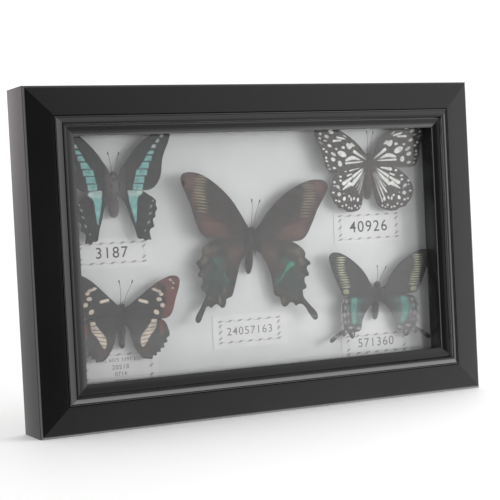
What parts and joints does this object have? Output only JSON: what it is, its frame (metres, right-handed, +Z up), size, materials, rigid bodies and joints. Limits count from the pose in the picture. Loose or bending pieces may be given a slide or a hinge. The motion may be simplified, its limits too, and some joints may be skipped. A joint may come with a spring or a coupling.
{
  "type": "framed butterfly specimen",
  "caption": "Deep black display frame with dried, spread butterflies and small paper labels on a white card behind a clear pane; stands on its lower rail or hangs.",
  "frame": {"origin": "under the middle of the frame, on the surface that it stands on", "axes": "+Z up, -Y the direction that the pane faces, +X to the right as seen from the front"},
  "size_m": [0.32, 0.0374, 0.214],
  "materials": {
    "black_lacquer": "satin black lacquer over a wooden moulding",
    "gloss_black": "glossy black strip",
    "clear_acrylic": "clear acrylic sheet with a slight grey veil",
    "white_card": "matt pale grey-white card",
    "hardboard": "brown pressed fibre board",
    "steel": "zinc-plated sheet steel",
    "bluebottle_wings": "scaled wings, black with a turquoise band",
    "peacock_wings": "scaled wings, brown-black with green streaks",
    "tiger_wings": "scaled wings, black-brown with pale spots",
    "admiral_wings": "scaled wings, dark with cream spots and red-brown outer parts",
    "banded_wings": "scaled wings, grey-black with a yellow-green and a blue-green band",
    "label_paper": "matt white paper with a printed grey border and plain numbers"
  },
  "bodies": {
    "root": {"rail_top": "black_lacquer", "rail_bottom": "black_lacquer", "rail_left": "black_lacquer", "rail_right": "black_lacquer", "liner_top": "gloss_black", "liner_bottom": "gloss_black", "liner_left": "gloss_black", "liner_right": "gloss_black", "spacer_top": "gloss_black", "spacer_bottom": "gloss_black", "spacer_left": "gloss_black", "spacer_right": "gloss_black", "pane": "clear_acrylic", "mount_card": "white_card", "back_board": "hardboard", "point_top_1": "steel", "point_top_2": "steel", "point_bottom_1": "steel", "point_bottom_2": "steel", "point_left_1": "steel", "point_left_2": "steel", "point_right_1": "steel", "point_right_2": "steel", "hanger": "steel", "butterfly_bluebottle": "bluebottle_wings", "butterfly_peacock": "peacock_wings", "butterfly_tiger": "tiger_wings", "butterfly_admiral": "admiral_wings", "butterfly_banded": "banded_wings", "label_bluebottle": "label_paper", "label_peacock": "label_paper", "label_tiger": "label_paper", "label_admiral": "label_paper", "label_banded": "label_paper"}
  },
  "joints": []
}
